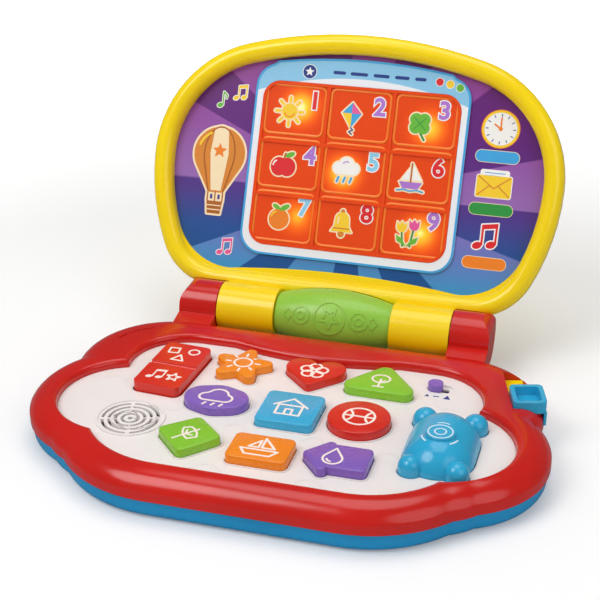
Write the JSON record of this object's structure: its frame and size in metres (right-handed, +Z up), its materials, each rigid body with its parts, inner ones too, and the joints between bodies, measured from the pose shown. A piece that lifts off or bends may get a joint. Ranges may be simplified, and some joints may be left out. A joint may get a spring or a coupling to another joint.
{
  "type": "toy laptop computer",
  "caption": "Toy laptop: lobed base with shaped spring keys, a mode rocker, a mouse button, a slider and a volume switch, and a hinged lid with a lit window and a roller.",
  "frame": {"origin": "centre of the case's footprint, on its flat underside", "axes": "+X to the user's right, +Y from the user to the hinge, +Z up"},
  "size_m": [0.29, 0.292, 0.1815],
  "materials": {
    "blue_shell": "gloss moulded",
    "red_shell": "gloss moulded",
    "white_panel": "satin moulded",
    "yellow_lid": "gloss moulded",
    "orange_key": "gloss moulded",
    "red_key": "gloss moulded",
    "green_key": "gloss moulded",
    "purple_key": "gloss moulded",
    "light_blue": "gloss moulded",
    "roller_green": "gloss moulded",
    "printed_card": "printed",
    "pale_frame": "printed",
    "clear_orange": "translucent",
    "white_box": "matt",
    "board": "solder mask",
    "lamp": "diffuse",
    "steel": "plated",
    "rubber": "matt",
    "cell": "wrapped",
    "speaker_dark": "matt"
  },
  "bodies": {
    "base": {"bottom_shell": "blue_shell", "top_housing": "red_shell", "keyboard_panel": "white_panel", "battery_door": "blue_shell", "door_screw": "steel", "batteries": "cell", "battery_contacts": "steel", "main_board": "board", "board_screws": "steel", "switch_pads": "rubber", "speaker": "speaker_dark", "case_screws": "steel", "hinge_pins": "steel", "label_deck": "yellow_lid", "switch_body": "steel", "rocker_pin": "steel"},
    "key_star": {"key_star": "orange_key"},
    "key_heart": {"key_heart": "red_key"},
    "key_triangle": {"key_triangle": "green_key"},
    "key_oval": {"key_oval": "purple_key"},
    "key_square": {"key_square": "light_blue"},
    "key_circle": {"key_circle": "red_key"},
    "key_diamond": {"key_diamond": "green_key"},
    "key_rectangle": {"key_rectangle": "orange_key"},
    "key_arrow": {"key_arrow": "purple_key"},
    "mode_rocker": {"mode_rocker": "red_shell"},
    "mouse_button": {"mouse_button": "light_blue"},
    "slider": {"slider": "light_blue"},
    "volume_knob": {"volume_knob": "purple_key"},
    "lid": {"lid_frame": "yellow_lid", "lid_back": "yellow_lid", "art_panel": "printed_card", "screen_frame": "pale_frame", "window": "clear_orange", "light_box": "white_box", "led_board": "board", "leds": "lamp", "lid_screws": "steel", "roller_axle": "steel"},
    "roller": {"roller": "roller_green"}
  },
  "joints": [
    {"name": "lid_hinge", "type": "hinge", "parent": "base", "child": "lid", "pos_m": [0, 0.0875, 0.026], "axis": [1, 0, 0], "range_deg": [0, 112]},
    {"name": "key_star_press", "type": "slide", "parent": "base", "child": "key_star", "axis": [0, 0, -1], "range_m": [0, 0.0024], "stiffness_N_per_m": 600},
    {"name": "key_heart_press", "type": "slide", "parent": "base", "child": "key_heart", "axis": [0, 0, -1], "range_m": [0, 0.0024], "stiffness_N_per_m": 600},
    {"name": "key_triangle_press", "type": "slide", "parent": "base", "child": "key_triangle", "axis": [0, 0, -1], "range_m": [0, 0.0024], "stiffness_N_per_m": 600},
    {"name": "key_oval_press", "type": "slide", "parent": "base", "child": "key_oval", "axis": [0, 0, -1], "range_m": [0, 0.0024], "stiffness_N_per_m": 600},
    {"name": "key_square_press", "type": "slide", "parent": "base", "child": "key_square", "axis": [0, 0, -1], "range_m": [0, 0.0024], "stiffness_N_per_m": 600},
    {"name": "key_circle_press", "type": "slide", "parent": "base", "child": "key_circle", "axis": [0, 0, -1], "range_m": [0, 0.0024], "stiffness_N_per_m": 600},
    {"name": "key_diamond_press", "type": "slide", "parent": "base", "child": "key_diamond", "axis": [0, 0, -1], "range_m": [0, 0.0024], "stiffness_N_per_m": 600},
    {"name": "key_rectangle_press", "type": "slide", "parent": "base", "child": "key_rectangle", "axis": [0, 0, -1], "range_m": [0, 0.0024], "stiffness_N_per_m": 600},
    {"name": "key_arrow_press", "type": "slide", "parent": "base", "child": "key_arrow", "axis": [0, 0, -1], "range_m": [0, 0.0024], "stiffness_N_per_m": 600},
    {"name": "mode_rock", "type": "hinge", "parent": "base", "child": "mode_rocker", "pos_m": [-0.075, 0.0055, 0.0176], "axis": [0.9976, -0.0698, 0], "range_deg": [-3, 3], "stiffness_Nm_per_rad": 0.6},
    {"name": "mouse_press", "type": "slide", "parent": "base", "child": "mouse_button", "axis": [0, 0, -1], "range_m": [0, 0.0024], "stiffness_N_per_m": 900},
    {"name": "slider_slide", "type": "slide", "parent": "base", "child": "slider", "axis": [-0.2756, 0.9613, 0], "range_m": [0, 0.02]},
    {"name": "volume_slide", "type": "slide", "parent": "base", "child": "volume_knob", "axis": [1, 0, 0], "range_m": [0, 0.006]},
    {"name": "roller_spin", "type": "hinge", "parent": "lid", "child": "roller", "pos_m": [0, 0.0875, 0.026], "axis": [1, 0, 0], "continuous": true}
  ]
}
